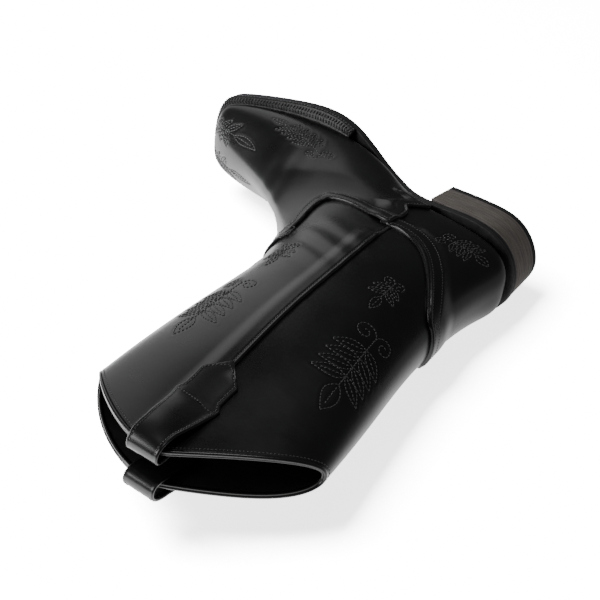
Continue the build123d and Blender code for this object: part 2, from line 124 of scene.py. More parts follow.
TREAD = [
    (-4, 36), (28, 36), (58, 36), (78, 35.2), (91, 31), (104, 24), (117, 16.3), (132, 9.6),
    (150, 4), (170, 1), (190, 0), (215, 1), (240, 4.5), (265, 9.5), (296, 17),
]
SOLE_OUTLINE = [
    (0, 0), (4.5, 17), (16, 29), (36, 35.6), (60, 35.4), (84, 32), (105, 27), (125, 26.5),
    (145, 31.5), (163, 39.5), (180, 45.5), (200, 47.5), (225, 44.7), (250, 40), (271, 35.3),
    (284, 29.5), (290.5, 17), (292, 0), (290.5, -17.5), (284, -29.5), (271, -34.5),
    (248, -38.7), (222, -41.6), (200, -41.6), (182, -39.5), (163, -35), (145, -30.3),
    (125, -27), (105, -27), (84, -30.5), (60, -34), (36, -34.8), (16, -28.5), (4.5, -16.5),
]
HEEL_TOP = [
    (BREAST_TOP, 34.0), (45, 35.5), (16, 29), (0.5, 0), (16, -28.5), (45, -34.5), (BREAST_TOP, -32.5),
]
HEEL_BOTTOM = [
    (BREAST_BOTTOM, 30.5), (47, 32.5), (19, 26), (4.5, 0), (19, -25.5), (47, -31.5), (BREAST_BOTTOM, -29),
]

FRONT_FORWARD = [122, 130, 135, 136, 137, 147, 163, 179, 196, 217, 241, 264, 279, 286, 288, 288.5]
FRONT_UP = [385, 330, 275, 222, 174, 134, 108, 92, 79.5, 67.5, 56.5, 47.5, 39.5, 33, 27, 22.2]
BACK_FORWARD = [-32, -32, -24, -12, -2, 3, 1.5, 5.5, 45, 105, 168, 224, 259, 275, 283, 286.5]
BACK_UP = [385, 330, 275, 218, 160, 108, 70, 46.5]
HALF_WIDTH = [11.5, 20, 30, 36, 38, 38, 36, 34.5, 34, 34, 38.2, 36.9, 32.8, 28.2, 23.2, 19.5]
SIDE_SHIFT = [-5.5, -7, -7, -5.5, -2.5, -1, 0, 1, 1.2, 1.8, 0.9, -0.8, -1.9, -2, -1.6, -1.2]
WIDEST = [0.49, 0.49, 0.5, 0.5, 0.51, 0.53, 0.56, 0.6, 0.65, 0.69, 0.72, 0.73, 0.72, 0.68, 0.6, 0.5]
FRONT_FULLNESS = [2.3, 2.3, 2.2, 2.1, 2.0, 2.0, 1.95, 1.9, 1.9, 1.85, 1.85, 2.0, 2.2, 2.4, 2.4, 2.4]
BACK_FULLNESS = [2.2, 2.2, 2.1, 2.1, 2.1, 2.3, 2.6, 3.0, 3.3, 3.3, 3.3, 3.2, 3.0, 2.7, 2.4, 2.4]

# Places along the upper are section numbers, and places around it are degrees from its front.
TOE_END = 14.8
TOE_TURN = 12.8
TOE_FOOT_ANGLE = 95.0
SEAM_START = 7.2
SEAM_END = 8.55
SEAM_FOOT_ANGLE = 124.0
LASTING_ANGLE = 150.0
LASTING_SECTION = 9.3
HEEL_SEAT_SECTION = 7.35
SOLE_START = 7.0
SIDE_SEAM_ANGLE = 86.0

BROAD_WAVE = 0.35
ANKLE_FOLD = 0.28
ANKLE_UP = 150.0
ANKLE_SPREAD = 34.0
BALL_FOLD = 0.16
BALL_FORWARD = 196.0
BALL_SPREAD = 17.0

VAMP_TOP = [(0, 4.62), (30, 4.85), (50, 6.62), (86, 5.74)]
COUNTER_TOP = [(86, 5.74), (160, 4.2), (180, 4.17)]

STRAP_PATH = [
    (1.05, -86), (1.05, -78), (1.05, -70), (1.05, -58), (1.1, -49), (1.4, -42), (4.0, -28), (6.9, -13),
    (7.0, -2), (3.0, 3.8), (-2.8, 3.6), (-5.6, -3), (-5.2, -14), (-4.4, -26), (-4.2, -40),
]
STRAP_HALF_WIDTH = [
    (0, 0.6), (1.9, 14), (2.6, 13.6), (3.4, 13.8), (3.9, 16.2), (4.6, 15.8), (6, 13.8), (7, 12), (14, 11.5),
]


# ---- curves ----
def natural_spline(values, places):
    """Values at whole places 0, 1, 2 ... joined by one smooth curve, read at many places."""
    values = np.asarray(values, float)
    flat = values.reshape(len(values), -1)
    count = len(flat)
    matrix = np.eye(count)
    bends = np.zeros_like(flat)
    for i in range(1, count - 1):
        matrix[i, i - 1 : i + 2] = (1, 4, 1)
        bends[i] = 6 * (flat[i - 1] - 2 * flat[i] + flat[i + 1])
    bends = np.linalg.solve(matrix, bends)
    places = np.clip(np.atleast_1d(places), 0, count - 1)
    i = np.minimum(places.astype(int), count - 2)
    s = (places - i)[:, None]
    result = flat[i] * (1 - s) + flat[i + 1] * s
    result = result + ((1 - s) ** 3 - (1 - s)) * bends[i] / 6 + (s**3 - s) * bends[i + 1] / 6
    return result.reshape((len(places),) + values.shape[1:])


def ease(x):
    x = np.clip(x, 0.0, 1.0)
    return x * x * (3 - 2 * x)


def eased(points, x):
    """Value at x on a run of points joined by smooth steps."""
    x = np.asarray(x, float)
    result = np.full(x.shape, float(points[0][1]))
    for (x0, y0), (x1, y1) in zip(points, points[1:]):
        result = np.where(x >= x0, y0 + (y1 - y0) * ease((x - x0) / (x1 - x0)), result)
    return result


def smooth_line(points, count, closed=False):
    """Many points on a smooth curve through a few."""
    points = list(points)
    if closed:
        wrap = 3
        points = points[-wrap:] + points + points[: wrap + 1]
        places = np.linspace(wrap, len(points) - 1 - wrap, count + 1)[:-1]
        return natural_spline(points, places)
    return natural_spline(points, np.linspace(0, len(points) - 1, count))


# ---- the surface of the upper ----
TREAD_LINE = smooth_line(TREAD, 5 * len(TREAD) - 4)


def tread_height(forward):
    return np.interp(forward, *TREAD_LINE.T)


def seat_height(forward):
    return tread_height(forward) + OUTSOLE_THICKNESS + SEAT_GAP


def section_table(numbers):
    bottom = [float(seat_height(f)) for f in BACK_FORWARD[len(BACK_UP) :]]
    columns = [
        FRONT_FORWARD, FRONT_UP, BACK_FORWARD, BACK_UP + bottom, HALF_WIDTH,
        SIDE_SHIFT, WIDEST, FRONT_FULLNESS, BACK_FULLNESS,
    ]
    table = natural_spline(np.array(columns).T, numbers)
    table[:, 3] += (seat_height(table[:, 2]) - table[:, 3]) * ease(numbers - SOLE_START)
    return table


NUMBERS = np.linspace(0, len(FRONT_UP) - 1, 40 * (len(FRONT_UP) - 1) + 1)
TABLE = section_table(NUMBERS)


def smooth_point(number, angle):
    """Point on the upper's outer face, before its creases."""
    number, angle = np.broadcast_arrays(np.asarray(number, float), np.asarray(angle, float))
    f0, u0, f1, u1, half, shift, widest, front_n, back_n = [np.interp(number, NUMBERS, c) for c in TABLE.T]
    c = np.cos(np.radians(angle))
    s = np.sin(np.radians(angle))
    power = back_n + (front_n - back_n) * (1 + c) / 2
    scale = (np.abs(c) ** power + np.abs(s) ** power) ** (-1 / power)
    along = widest - scale * c * (0.5 + (widest - 0.5) * scale * c)
    return np.stack([half * scale * s + shift, f0 + (f1 - f0) * along, u0 + (u1 - u0) * along], -1)


def tangents(number, angle):
    """Directions of growing section number and growing angle, per section and per degree."""
    number = np.asarray(number, float)
    angle = np.asarray(angle, float)
    d_number = (smooth_point(number + 0.02, angle) - smooth_point(number - 0.02, angle)) / 0.04
    d_angle = smooth_point(number, angle + 0.5) - smooth_point(number, angle - 0.5)
    return d_number, d_angle


def unit(vectors):
    return vectors / np.maximum(np.linalg.norm(vectors, axis=-1, keepdims=True), 1e-9)


def outward(number, angle):
    d_number, d_angle = tangents(number, angle)
    return -unit(np.cross(d_number, d_angle))


def swell(distance, place, height, width):
    """Bell-shaped rise around a place."""
    return height * np.exp(-(((distance - place) / width) ** 2))


def creases(points):
    """Height of the leather's soft waves: broad dents all over, folds at the ankle and the ball."""
    side, forward, up = np.moveaxis(points, -1, 0)
    broad = np.sin(up / 31 + side / 23 + 1.0) * np.sin(forward / 27 - up / 57) * BROAD_WAVE
    ankle = swell(up, ANKLE_UP, 1, ANKLE_SPREAD) * ease((forward - 40) / 60)
    folds = np.sin(up / 3.4 + forward / 9 + 1.7 * np.sin(side / 15 + forward / 31)) * ANKLE_FOLD
    ball = swell(forward, BALL_FORWARD, 1, BALL_SPREAD) * ease((up - 25) / 30)
    bends = np.sin(forward / 2.6 + up / 17 + 1.4 * np.sin(side / 13)) * BALL_FOLD
    return broad + ankle * folds + ball * bends


def layer_point(number, angle, offset):
    """Point at a distance outside the upper's face, creases included."""
    base = smooth_point(number, angle)
    return base + (offset + creases(base))[..., None] * outward(number, angle)


def to_row(points):
    side, forward, up = np.moveaxis(np.asarray(points, float), -1, 0)
    return np.stack([CENTRE_SIDE - side, CENTRE_FORWARD - forward, up], -1) / 1000


def half_turn(angle):
    angle = np.mod(angle, 360)
    return np.minimum(angle, 360 - angle)


def rim_height(angle):
    c = np.cos(np.radians(angle))
    front = (RIM_SIDE_HEIGHT - RIM_FRONT_HEIGHT) * np.maximum(c, 0) ** RIM_FRONT_POWER
    back = (RIM_SIDE_HEIGHT - RIM_BACK_HEIGHT) * np.maximum(-c, 0) ** RIM_BACK_POWER
    return RIM_SIDE_HEIGHT - front - back


def section_at_height(height, angle):
    height, angle = np.broadcast_arrays(np.asarray(height, float), np.asarray(angle, float))
    low = np.zeros(height.shape)
    high = np.full(height.shape, 5.0)
    for _ in range(30):
        middle = (low + high) / 2
        above = smooth_point(middle, angle)[..., 2] > height
        low = np.where(above, middle, low)
        high = np.where(above, high, middle)
    return (low + high) / 2


def rim_section(angle, below=0.0):
    return section_at_height(rim_height(angle) - below, angle)


def vamp_top(angle):
    return eased(VAMP_TOP, half_turn(angle))


def counter_top(angle):
    return eased(COUNTER_TOP, half_turn(angle))


def foot_angle(number):
    points = [
        (SEAM_START, SIDE_SEAM_ANGLE), (SEAM_END, SEAM_FOOT_ANGLE), (LASTING_SECTION, LASTING_ANGLE),
        (TOE_TURN, LASTING_ANGLE), (TOE_END, TOE_FOOT_ANGLE),
    ]
    return eased(points, number)


def back_panel_edge(number):
    butted = 180 - SIDE_ANGLE - BUTT_GAP_ANGLE
    return butted + (SEAM_LAP_ANGLE + BUTT_GAP_ANGLE) * (1 - ease((number - SEAM_LAP_END + 0.1) / 0.3))


def heel_seat_edge(share):
    return HEEL_SEAT_SECTION + (SEAM_END - HEEL_SEAT_SECTION) * share**1.5


def lap(number, top):
    return 1 - ease((number - top - 1.3 * LAP_LENGTH) / (1.7 * LAP_LENGTH))


# Height of each leather piece's outer face over the upper's surface.
def front_face(number, angle):
    start = SIDE_ANGLE - SEAM_LAP_ANGLE - LAP_RISE_ANGLE
    climb = ease((np.abs(angle) - start) / LAP_RISE_ANGLE) * (1 - ease((number - SEAM_LAP_END) / 0.3))
    return STEP * climb


def back_face(number, angle):
    return np.zeros(np.broadcast(number, angle).shape)


def vamp_face(number, angle):
    share = angle / foot_angle(number)
    seam = ease((np.abs(share) - 0.82) / 0.09) * ease((SEAM_END + 0.6 - number) / 0.6)
    return STEP * (lap(number, vamp_top(share * SIDE_SEAM_ANGLE)) + seam)


def counter_face(number, angle):
    return STEP * lap(number, counter_top(angle))


# ---- lines on the surface ----
def project(number, angle, target):
    """Place on the surface nearest to a point, from a place close by."""
    for _ in range(4):
        d_number, d_angle = tangents(number, angle)
        gap = target - smooth_point(number, angle)
        nn = (d_number * d_number).sum(-1)
        aa = (d_angle * d_angle).sum(-1)
        na = (d_number * d_angle).sum(-1)
        gn = (gap * d_number).sum(-1)
        ga = (gap * d_angle).sum(-1)
        det = nn * aa - na * na
        number = number + (gn * aa - ga * na) / det
        angle = angle + (ga * nn - gn * na) / det
    return number, angle


def beside(number, angle, distance, steps=3):
    """Line beside a line on the surface, to its left as seen along it from outside."""
    for _ in range(steps):
        points = smooth_point(number, angle)
        along = unit(np.gradient(points, axis=0))
        left = np.cross(outward(number, angle), along)
        number, angle = project(number, angle, points + left * distance / steps)
    return number, angle


def spaced(points, pitch):
    """Points at even spacing along a line, and the line's direction there."""
    lengths = np.concatenate([[0], np.cumsum(np.linalg.norm(np.diff(points, axis=0), axis=1))])
    count = max(int(lengths[-1] / pitch), 1)
    marks = (np.arange(count) + 0.5) * lengths[-1] / count
    read = lambda at: np.stack([np.interp(at, lengths, axis) for axis in points.T], -1)
    return read(marks), unit(read(marks + 0.3) - read(marks - 0.3))


# ---- meshes ----
def add_mesh(name, points, faces, material):
    mesh = bpy.data.meshes.new(name)
    mesh.from_pydata(to_row(points).tolist(), [], faces)
    mesh.polygons.foreach_set("use_smooth", [True] * len(mesh.polygons))
    mesh.materials.append(material)
    mesh.update()
    piece = bpy.data.objects.new(name, mesh)
    bpy.context.collection.objects.link(piece)
    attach(piece, "root")
    return piece


def grid_faces(rows, columns, start=0, flip=False, wrap=False):
    """Four-sided faces over a grid of points, row by row."""
    last = columns if wrap else columns - 1
    i, j = np.meshgrid(np.arange(rows - 1), np.arange(last), indexing="ij")
    right = (j + 1) % columns
    a = start + i * columns + j
    b = start + i * columns + right
    c = start + (i + 1) * columns + right
    d = start + (i + 1) * columns + j
    quads = np.stack([a, b, c, d] if not flip else [d, c, b, a], -1)
    return quads.reshape(-1, 4).tolist()


def ring_mesh(name, rings, material):
    """Closed tube through rings of points."""
    count, size = rings.shape[:2]
    faces = grid_faces(count, size, wrap=True)
    faces.append(list(range(size))[::-1])
    faces.append(list(range((count - 1) * size, count * size)))
    return add_mesh(name, rings.reshape(-1, 3), faces, material)


def nearest_distance(points, line_points):
    tree = KDTree(len(line_points))
    for i, p in enumerate(line_points):
        tree.insert(p, i)
    tree.balance()
    return np.array([tree.find(p)[2] for p in points.reshape(-1, 3)]).reshape(points.shape[:-1])


EDGE_ROUND = 0.9
BEAD_PLACE = 1.1
BEAD_WIDTH = 0.9
STITCH_ROWS = (2.7, 9.6)
SIDE_ROW = 2.6

# Height and width of the leather's dent along a thread, and of the puff around it.
ROW_DENT = (0.32, 0.6)
ROW_PUFF = (0.12, 2.4)
EMBROIDERY_DENT = (0.22, 0.8)
EMBROIDERY_PUFF = (0.09, 1.1)
EMBROIDERY_PUFF_PLACE = 1.9

# Pitch, length and radius of each kind of stitch, and how deep the thread sits in the leather.
PANEL_STITCH = (2.3, 1.75, 0.34)
OVERLAY_STITCH = (2.3, 1.75, 0.36)
STRAP_STITCH = (2.3, 1.7, 0.36)
EMBROIDERY_STITCH = (2.6, 2.2, 0.40)
BRAID_STITCH = (9.0, 3.3, 0.62)
WELT_STITCH = (2.6, 2.1, 0.5)
SIDE_SINK = 0.15
OVERLAY_SINK = 0.12
RIM_SINK = 0.1
EMBROIDERY_SINK = 0.08
FINE_EDGE = [0, 0.25, 0.5, 0.8, 1.2, 1.7, 2.2, 2.7, 3.2, 3.8, 4.6]


def shares(length, pitch, fine_start=True, fine_end=True):
    """Shares of a length, closer together near the ends that are fine."""
    marks = list(np.linspace(0, 1, int(length / pitch) + 1))
    fine = [m / length for m in FINE_EDGE]
    if fine_start:
        marks = fine + [m for m in marks if m > fine[-1]]
    if fine_end:
        marks = [m for m in marks if m < 1 - fine[-1]] + [1 - m for m in reversed(fine)]
    return np.array(marks)


def edge_relief(distance, bead, rows):
    """Rounded, slightly raised cut edge, with the leather pulled in along the stitch rows."""
    inside = np.clip(EDGE_ROUND - distance, 0, EDGE_ROUND)
    height = np.sqrt(EDGE_ROUND**2 - inside**2) - EDGE_ROUND + swell(distance, BEAD_PLACE, bead, BEAD_WIDTH)
    for row in rows:
        height = height - swell(distance, row, *ROW_DENT) + swell(distance, row, *ROW_PUFF)
    return height


def embroidered_relief(distance):
    """Leather pulled in along the embroidery and puffed up beside it."""
    return swell(distance, EMBROIDERY_PUFF_PLACE, *EMBROIDERY_PUFF) - swell(distance, 0, *EMBROIDERY_DENT)


def leather_piece(name, node, number, angle, face, edges, motifs, bead, rows):
    """Leather part of the upper: its outer face with relief, and its cut edges."""
    base = smooth_point(number, angle)
    height = face(number, angle)
    border = np.vstack([smooth_point(*line) for line in edges])
    height = height + edge_relief(nearest_distance(base, border), bead, rows)
    threads = np.vstack([smooth_point(*line) for line in motifs])
    height = height + embroidered_relief(nearest_distance(base, threads))
    outer = layer_point(number, angle, height)
    inner = layer_point(number, angle, face(number, angle) - LEATHER)
    count, size = number.shape
    rim = [(0, j) for j in range(size)] + [(i, size - 1) for i in range(1, count)]
    rim += [(count - 1, j) for j in range(size - 2, -1, -1)] + [(i, 0) for i in range(count - 2, 0, -1)]
    under = np.array([inner[i, j] for i, j in rim])
    points = np.vstack([outer.reshape(-1, 3), under])
    faces = grid_faces(count, size)
    for k, (i, j) in enumerate(rim):
        after = (k + 1) % len(rim)
        i2, j2 = rim[after]
        faces.append([i * size + j, count * size + k, count * size + after, i2 * size + j2])
    piece = add_mesh(name, points, faces, LEATHER_LOOK)
    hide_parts(node)
    return piece


def stitches(name, lines, size, material):
    """Rows of single stitches. Each line is points and outward directions."""
    pitch, length, radius = size
    shape_along = np.array([-0.5, -0.36, 0, 0.36, 0.5])
    shape_thick = np.array([0.45, 0.9, 1.0, 0.9, 0.45])
    shape_height = np.array([-0.9, 0.1, 0.45, 0.1, -0.9])
    sides = 6
    around = np.linspace(0, 2 * np.pi, sides, endpoint=False)
    blocks = []
    for points, normals in lines:
        centres, along = spaced(points, pitch)
        up = spaced_normals(points, normals, pitch)
        across = unit(np.cross(up, along))
        block = []
        for s, thick, rise in zip(shape_along, shape_thick, shape_height):
            middle = centres + along * s * length + up * rise * radius
            block += [middle + radius * thick * (across * np.cos(a) + up * np.sin(a)) for a in around]
        blocks.append(np.stack(block, 1))
    points = np.vstack(blocks)
    per = len(shape_along) * sides
    one = np.array(grid_faces(len(shape_along), sides, wrap=True, flip=True))
    quads = (one[None] + np.arange(len(points))[:, None, None] * per).reshape(-1, 4).tolist()
    piece = add_mesh(name, points.reshape(-1, 3), quads, material)


def spaced_normals(points, normals, pitch):
    """Outward directions at the places that spaced() gives."""
    lengths = np.concatenate([[0], np.cumsum(np.linalg.norm(np.diff(points, axis=0), axis=1))])
    count = max(int(lengths[-1] / pitch), 1)
    marks = (np.arange(count) + 0.5) * lengths[-1] / count
    return unit(np.stack([np.interp(marks, lengths, axis) for axis in normals.T], -1))


def surface_line(number, angle, face, sink):
    """Points and outward directions of a line on a leather piece's face."""
    return layer_point(number, angle, face(number, angle) - sink), outward(number, angle)


def mirrored(lines, turn=0):
    """The lines and their mirror images on the inner side, a turn on where angles pass the back."""
    return [*lines, *[(number, turn - angle) for number, angle in lines]]


# ---- materials ----
def new_material(name):
    material = bpy.data.materials.new(name)
    material.use_nodes = True
    tree = material.node_tree
    return material, tree, tree.nodes["Principled BSDF"]


def noise(tree, scale, detail=4.0, stretch=(1, 1, 1), roughness=0.55):
    coordinates = tree.nodes.new("ShaderNodeTexCoord")
    mapping = tree.nodes.new("ShaderNodeMapping")
    mapping.inputs["Scale"].default_value = stretch
    texture = tree.nodes.new("ShaderNodeTexNoise")
    texture.inputs["Scale"].default_value = scale
    texture.inputs["Detail"].default_value = detail
    texture.inputs["Roughness"].default_value = roughness
    tree.links.new(coordinates.outputs["Object"], mapping.inputs["Vector"])
    tree.links.new(mapping.outputs["Vector"], texture.inputs["Vector"])
    return texture.outputs["Fac"]


def pores(tree, scale):
    coordinates = tree.nodes.new("ShaderNodeTexCoord")
    texture = tree.nodes.new("ShaderNodeTexVoronoi")
    texture.feature = "DISTANCE_TO_EDGE"
    texture.inputs["Scale"].default_value = scale
    tree.links.new(coordinates.outputs["Object"], texture.inputs["Vector"])
    return texture.outputs["Distance"]


def ranged(tree, value, low, high):
    """Value spread over a range, its middle part alone."""
    node = tree.nodes.new("ShaderNodeMapRange")
    node.inputs["From Min"].default_value = 0.3
    node.inputs["From Max"].default_value = 0.7
    node.inputs["To Min"].default_value = low
    node.inputs["To Max"].default_value = high
    tree.links.new(value, node.inputs["Value"])
    return node.outputs["Result"]


def blended(tree, value, first, second):
    node = tree.nodes.new("ShaderNodeValToRGB")
    node.color_ramp.elements[0].position = 0.35
    node.color_ramp.elements[1].position = 0.65
    node.color_ramp.elements[0].color = (*first, 1)
    node.color_ramp.elements[1].color = (*second, 1)
    tree.links.new(value, node.inputs["Fac"])
    return node.outputs["Color"]


def add_bump(tree, shader, heights):
    """Chains bumps; heights are (value, strength, depth in metres)."""
    before = None
    for value, strength, depth in heights:
        bump = tree.nodes.new("ShaderNodeBump")
        bump.inputs["Strength"].default_value = strength
        bump.inputs["Distance"].default_value = depth
        tree.links.new(value, bump.inputs["Height"])
        if before is not None:
            tree.links.new(before, bump.inputs["Normal"])
        before = bump.outputs["Normal"]
    tree.links.new(before, shader.inputs["Normal"])


def leather_look(name, colour, worn, roughness, coat, grain=0.12):
    material, tree, shader = new_material(name)
    patches = noise(tree, 22, 5)
    tree.links.new(blended(tree, patches, colour, worn), shader.inputs["Base Color"])
    tree.links.new(ranged(tree, patches, roughness - 0.05, roughness + 0.07), shader.inputs["Roughness"])
    shader.inputs["Specular IOR Level"].default_value = 0.5
    shader.inputs["Coat Weight"].default_value = coat
    shader.inputs["Coat Roughness"].default_value = 0.22
    bumps = [
        (noise(tree, 75, 3, (1, 1, 2.2)), 0.10, 0.0006),
        (pores(tree, 1500), grain, 0.00012),
        (noise(tree, 900, 4), grain, 0.00015),
    ]
    add_bump(tree, shader, bumps)
    return material


def grey(level, blue=0.0):
    return (level, level, level + blue)


def plain_look(
    name, colour, second, roughness, scale=60, bump=0.2, depth=0.0002, stretch=(1, 1, 1), metal=0.0
):
    material, tree, shader = new_material(name)
    value = noise(tree, scale, 5, stretch)
    tree.links.new(blended(tree, value, colour, second), shader.inputs["Base Color"])
    tree.links.new(ranged(tree, value, roughness - 0.06, roughness + 0.06), shader.inputs["Roughness"])
    shader.inputs["Metallic"].default_value = metal
    fine = noise(tree, scale * 9, 3, stretch)
    add_bump(tree, shader, [(value, bump, depth), (fine, bump * 0.6, depth / 2)])
    return material


LEATHER_LOOK = leather_look("glossy_black_leather", grey(0.006, 0.0005), grey(0.010, 0.001), 0.30, 0.35)
EDGE_LOOK = leather_look("painted_edge", grey(0.008), grey(0.015), 0.22, 0.6, grain=0.03)
LINING_LOOK = leather_look(
    "lining_leather", (0.022, 0.021, 0.021), (0.034, 0.032, 0.032), 0.45, 0.0, grain=0.2
)
THREAD_LOOK = plain_look("black_thread", grey(0.09, 0.003), grey(0.16, 0.004), 0.36, 2200, 0.5, 0.0001)
WELT_LOOK = plain_look("waxed_welt", grey(0.010), grey(0.016), 0.4, 300, 0.3)
BRAID_LOOK = plain_look("waxed_braid", grey(0.035, 0.001), grey(0.06, 0.002), 0.42, 900, 0.4)
SOLE_LOOK = plain_look("black_outsole", grey(0.028, 0.001), grey(0.042, 0.002), 0.5, 120, 0.2)
LIFT_LOOK = plain_look("rubber_top_lift", grey(0.02), grey(0.032), 0.62, 400, 0.25)


def stacked_look(k):
    """Leather of one heel lift, in one of three shades, with fibres that run along the lift."""
    shade = k % 3
    colour = (0.175 + 0.016 * shade, 0.154 + 0.014 * shade, 0.144)
    return plain_look(f"stacked_leather_{k}", colour, (0.30, 0.273, 0.257), 0.6, 60, 0.3, stretch=(1, 1, 16))


STACK_LOOKS = [stacked_look(k) for k in range(LIFT_COUNT)]
BOARD_LOOK = plain_look("insole_board", (0.30, 0.19, 0.10), (0.38, 0.25, 0.14), 0.7)
STIFF_LOOK = plain_look("stiffener", (0.5, 0.46, 0.38), (0.6, 0.55, 0.46), 0.7)
CORK_LOOK = plain_look("cork", (0.20, 0.11, 0.05), (0.42, 0.27, 0.14), 0.8, 500, 0.6)
STEEL_LOOK = plain_look("rolled_steel", (0.45, 0.45, 0.46), (0.55, 0.55, 0.57), 0.35, 200, 0.1, metal=1.0)


# ---- embroidery: curves in millimetres, x towards the back of the boot, y towards the toe ----
def spiral(centre, radius, turns, start, direction=1, count=70):
    t = np.linspace(0, 1, count)
    reach = radius * (1 - 0.86 * t)
    a = np.radians(start) + direction * 2 * np.pi * turns * t
    return np.stack([centre[0] + reach * np.cos(a), centre[1] + reach * np.sin(a)], -1)


def leaf(base, tip, width):
    """Pointed leaf from base to tip, with a midrib."""
    base = np.array(base, float)
    along = np.array(tip, float) - base
    across = np.array([-along[1], along[0]]) / np.linalg.norm(along)
    t = np.linspace(0, 1, 50)[:, None]
    belly = np.sin(np.pi * t**0.8) * width / 2
    return [base + along * t + across * belly, base + along * t - across * belly, base + along * t[4:38]]


def sprig(length, pairs, reach, turn):
    """Stem with pairs of leaves, a leaf at its tip and two scrolls at its foot, turned in degrees."""
    stem = np.stack([np.zeros(60), np.linspace(0, length, 60)], -1)
    lines = [stem, *leaf((0, length), (0, length + 1.3 * reach), 0.6 * reach)]
    for side in (1, -1):
        for k in range(pairs):
            root = length * (0.25 + 0.75 * k / pairs)
            lines += leaf((0, root), (side * reach, root + 0.55 * reach), 0.42 * reach)
        start = 90 + 90 * side
        lines.append(spiral((side * 0.42 * reach, 0), 0.42 * reach, 1.4, start, side))
    c = np.cos(np.radians(turn))
    s = np.sin(np.radians(turn))
    return [line @ np.array([[c, s], [-s, c]]) for line in lines]


def on_surface(lines, number, angle):
    """Lines in millimetres around an anchor, as places on the surface."""
    d_number, d_angle = tangents(number, angle)
    per_section = np.linalg.norm(d_number)
    per_degree = np.linalg.norm(d_angle)
    return [(number + line[:, 1] / per_section, angle + line[:, 0] / per_degree) for line in lines]


def shaft_front_motifs():
    return on_surface(sprig(46, 4, 16, 180), 3.1, 47) + on_surface(sprig(16, 2, 10, 180), 4.3, 46)


def shaft_back_motifs():
    return on_surface(sprig(52, 4, 20, 180), 3.3, 134) + on_surface(sprig(18, 2, 11, 180), 4.25, 118)


def vamp_motifs():
    return on_surface(sprig(46, 4, 14, 0), 9.2, 64) + on_surface(sprig(16, 2, 9, 180), 12.2, 24)


def counter_motifs():
    return on_surface(sprig(26, 3, 12, -90), 6.15, 112)


def inside(lines, top, bottom, low, high):
    """Keeps the lines' places that lie on a piece, well inside its edges."""
    kept = []
    for number, angle in lines:
        turn = half_turn(angle)
        keep = (number > top(angle)) & (number < bottom(angle)) & (turn > low) & (turn < high)
        if keep.sum() > 8:
            kept.append((number[keep], angle[keep]))
    return kept


# ---- the upper ----
PITCH = 1.1
LINING_PITCH = 4
RIM_STITCH_DROP = 2.2
BEAD = 0.35
OVERLAY_BEAD = 0.55


def edge_line(number, angle):
    return np.asarray(number, float), np.asarray(angle, float)


def rim_stitch_line(angle, face):
    return surface_line(rim_section(angle, BEADING_HEIGHT + RIM_STITCH_DROP), angle, face, RIM_SINK)


def embroidery(name, motifs, face):
    threads = [surface_line(*line, face, EMBROIDERY_SINK) for line in motifs]
    stitches(name, threads, EMBROIDERY_STITCH, THREAD_LOOK)


def shaft_front():
    across = 2 * shares(190, PITCH) - 1
    down = shares(235, PITCH)
    angle = SIDE_ANGLE * across[None, :] + 0 * down[:, None]
    top = rim_section(SIDE_ANGLE * across, BEADING_HEIGHT)
    bottom = vamp_top(SIDE_ANGLE * across) + LAP_LENGTH
    number = top + (bottom - top) * down[:, None]
    v = np.linspace(0, 1, 600)
    side_top = rim_section(SIDE_ANGLE, BEADING_HEIGHT)
    side = side_top + (vamp_top(SIDE_ANGLE) - side_top) * v
    edges = [edge_line(side, 0 * v + SIDE_ANGLE), edge_line(side, 0 * v - SIDE_ANGLE)]
    motifs = inside(shaft_front_motifs(), lambda a: rim_section(a, 14), lambda a: vamp_top(a) - 0.12, 0, 80)
    motifs = mirrored(motifs)
    piece = ("shaft_front_leather", "shaft_front", number, angle, front_face)
    leather_piece(*piece, edges, motifs, BEAD, STITCH_ROWS[:1])
    seam = side[side < SEAM_LAP_END + 0.6]
    seam = beside(seam, 0 * seam + SIDE_ANGLE, STITCH_ROWS[0])
    rows = [surface_line(*line, front_face, SIDE_SINK) for line in mirrored([seam])]
    rows.append(rim_stitch_line(np.linspace(-SIDE_ANGLE, SIDE_ANGLE, 300), front_face))
    stitches("shaft_front_stitches", rows, PANEL_STITCH, THREAD_LOOK)
    embroidery("shaft_front_embroidery", motifs, front_face)


def shaft_back():
    across = 2 * shares(190, PITCH) - 1
    down = shares(245, PITCH)

    def bottom_of(angle):
        return np.where(half_turn(angle) < SIDE_SEAM_ANGLE, vamp_top(angle), counter_top(angle)) + LAP_LENGTH

    top = rim_section(180 + across * back_panel_edge(0.0), BEADING_HEIGHT)
    bottom = bottom_of(180 + across * back_panel_edge(6.0))
    number = top + (bottom - top) * down[:, None]
    angle = 180 + across * back_panel_edge(number)
    v = np.linspace(0, 1, 600)
    edges = [edge_line(0.5 + 5.5 * v, 0 * v + 180 + s * back_panel_edge(0.0)) for s in (1, -1)]
    motifs = shaft_back_motifs()
    motifs = inside(motifs, lambda a: rim_section(a, 12), lambda a: counter_top(a) - 0.1, 96, 181)
    motifs = mirrored(motifs, 360)
    leather_piece("shaft_back_leather", "shaft_back", number, angle, back_face, edges, motifs, 0.0, ())
    rows = [rim_stitch_line(np.linspace(SIDE_ANGLE + 1, 359 - SIDE_ANGLE, 300), back_face)]
    stitches("shaft_back_stitches", rows, PANEL_STITCH, THREAD_LOOK)
    embroidery("shaft_back_embroidery", motifs, back_face)


